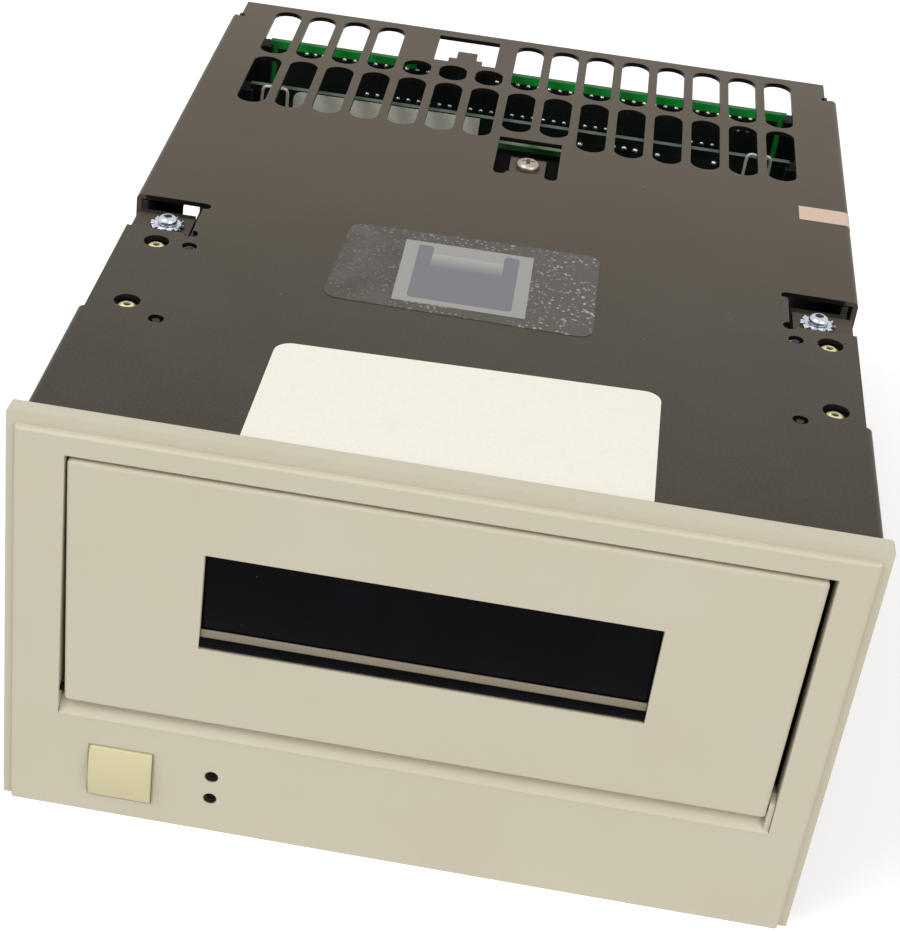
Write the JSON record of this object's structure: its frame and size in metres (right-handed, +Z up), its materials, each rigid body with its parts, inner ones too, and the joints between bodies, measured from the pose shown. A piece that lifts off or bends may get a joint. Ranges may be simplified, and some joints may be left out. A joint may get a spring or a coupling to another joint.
{
  "type": "data tape drive",
  "caption": "Full-height internal data tape drive: vented sheet-metal case, bezel with a windowed cassette door and unload button, helical-scan tape deck and circuit cards inside.",
  "frame": {"origin": "middle of the drive's footprint, on the level of the bezel's bottom edge", "axes": "+Y from the bezel to the rear connectors, +Z up through the vented cover, +X to the right as seen from the front"},
  "size_m": [0.1498, 0.2048, 0.086],
  "materials": {
    "zinc_steel": "zinc-plated sheet steel",
    "painted_cover": "warm grey coated sheet, fine even texture",
    "black_frame": "black coated steel",
    "bezel_plastic": "warm beige-grey moulding, fine grain",
    "button_plastic": "cream moulding, slightly glossy",
    "smoked_window": "near-black smoked acrylic, glossy",
    "bright_screws": "bright zinc-plated steel",
    "spring_steel": "spring steel",
    "brass_screws": "plain brass",
    "dark_posts": "blackened steel",
    "grommet_rubber": "black rubber",
    "pcb_green": "green solder mask over glass-epoxy laminate",
    "chip_black": "black moulding compound",
    "lamp_lens": "clear light pipe, unlit",
    "deck_alloy": "machined cast alloy",
    "motor_metal": "plated steel can",
    "holder_steel": "thin plated sheet",
    "reel_plastic": "black engineering plastic",
    "polished_steel": "ground and polished steel",
    "connector_black": "black connector moulding",
    "connector_white": "off-white connector moulding",
    "bail_wire": "light grey drawn wire",
    "ribbon_grey": "grey flat cable"
  },
  "bodies": {
    "chassis": {"address_jumpers": "connector_black", "base_board": "pcb_green", "bay_guides": "zinc_steel", "bezel": "bezel_plastic", "board_screws": "bright_screws", "board_standoffs": "bright_screws", "button_switch": "chip_black", "capstan_bearing": "brass_screws", "capstan_motor": "motor_metal", "card_bails": "bail_wire", "card_guides": "connector_black", "card_sockets": "connector_black", "chassis_tub": "painted_cover", "connector_pins": "bright_screws", "cover_screws": "bright_screws", "cross_brace": "zinc_steel", "deck_plate": "deck_alloy", "deck_ribbon": "ribbon_grey", "door_spring": "spring_steel", "drum_motor": "motor_metal", "front_board": "pcb_green", "front_card": "pcb_green", "front_card_parts": "chip_black", "front_frame": "black_frame", "host_connector": "connector_black", "lamps": "lamp_lens", "latch_catches": "spring_steel", "loading_motor": "motor_metal", "lower_drum": "deck_alloy", "middle_card": "pcb_green", "middle_card_parts": "chip_black", "pinch_pivot": "bright_screws", "power_inlet": "connector_white", "rail_posts": "dark_posts", "rail_screws": "brass_screws", "rear_card": "pcb_green", "rear_card_parts": "chip_black", "reel_motors": "motor_metal", "ring_rollers": "polished_steel", "shock_grommets": "grommet_rubber", "side_rails": "zinc_steel", "star_washers": "bright_screws", "tape_guides": "polished_steel", "top_cover": "painted_cover"},
    "door": {"door": "bezel_plastic", "door_window": "smoked_window", "door_pins": "bright_screws"},
    "button": {"unload_button": "button_plastic"},
    "holder": {"cassette_holder": "holder_steel", "holder_pins": "bright_screws"},
    "drum": {"upper_drum": "deck_alloy"},
    "capstan": {"capstan": "polished_steel"},
    "pinch_arm": {"pinch_arm": "polished_steel"},
    "pinch_roller": {"pinch_roller": "grommet_rubber"},
    "supply_reel": {"supply_reel": "reel_plastic"},
    "takeup_reel": {"takeup_reel": "reel_plastic"},
    "loading_ring": {"loading_ring": "reel_plastic", "guide_posts": "polished_steel"},
    "loading_pinion": {"loading_pinion": "reel_plastic"}
  },
  "joints": [
    {"name": "door_hinge", "type": "hinge", "parent": "chassis", "child": "door", "pos_m": [0, -0.0992, 0.0276], "axis": [1, 0, 0], "range_deg": [0, 80]},
    {"name": "button_press", "type": "slide", "parent": "chassis", "child": "button", "axis": [0, 1, 0], "range_m": [0, 0.0012], "stiffness_N_per_m": 300, "springref_m": -0.002},
    {"name": "holder_lower", "type": "slide", "parent": "chassis", "child": "holder", "axis": [0, 0, -1], "range_m": [0, 0.014]},
    {"name": "drum_spin", "type": "hinge", "parent": "chassis", "child": "drum", "pos_m": [0.0013, -0.0028, 0.0185], "axis": [0, -0.0872, 0.9962], "continuous": true},
    {"name": "capstan_spin", "type": "hinge", "parent": "chassis", "child": "capstan", "pos_m": [-0.0305, -0.0208, 0.02], "axis": [0, 0, 1], "continuous": true},
    {"name": "pinch_swing", "type": "hinge", "parent": "chassis", "child": "pinch_arm", "pos_m": [-0.047, -0.0048, 0.024], "axis": [0, 0, 1], "range_deg": [0, 18.5]},
    {"name": "pinch_roll", "type": "hinge", "parent": "pinch_arm", "child": "pinch_roller", "pos_m": [-0.0415, -0.0208, 0.03], "axis": [0, 0, 1], "continuous": true},
    {"name": "supply_spin", "type": "hinge", "parent": "chassis", "child": "supply_reel", "pos_m": [-0.0217, -0.0638, 0.02], "axis": [0, 0, 1], "continuous": true},
    {"name": "takeup_spin", "type": "hinge", "parent": "chassis", "child": "takeup_reel", "pos_m": [0.0243, -0.0638, 0.02], "axis": [0, 0, 1], "continuous": true},
    {"name": "ring_turn", "type": "hinge", "parent": "chassis", "child": "loading_ring", "pos_m": [0.0013, -0.0028, 0.02], "axis": [0, 0, 1], "range_deg": [0, 140]},
    {"name": "pinion_turn", "type": "hinge", "parent": "chassis", "child": "loading_pinion", "pos_m": [0.02753, 0.02343, 0.02], "axis": [0, 0, 1], "range_deg": [-730, 0]}
  ],
  "couplings": [
    {"joint": "pinion_turn", "follows": "ring_turn", "ratio": -5.1667}
  ]
}
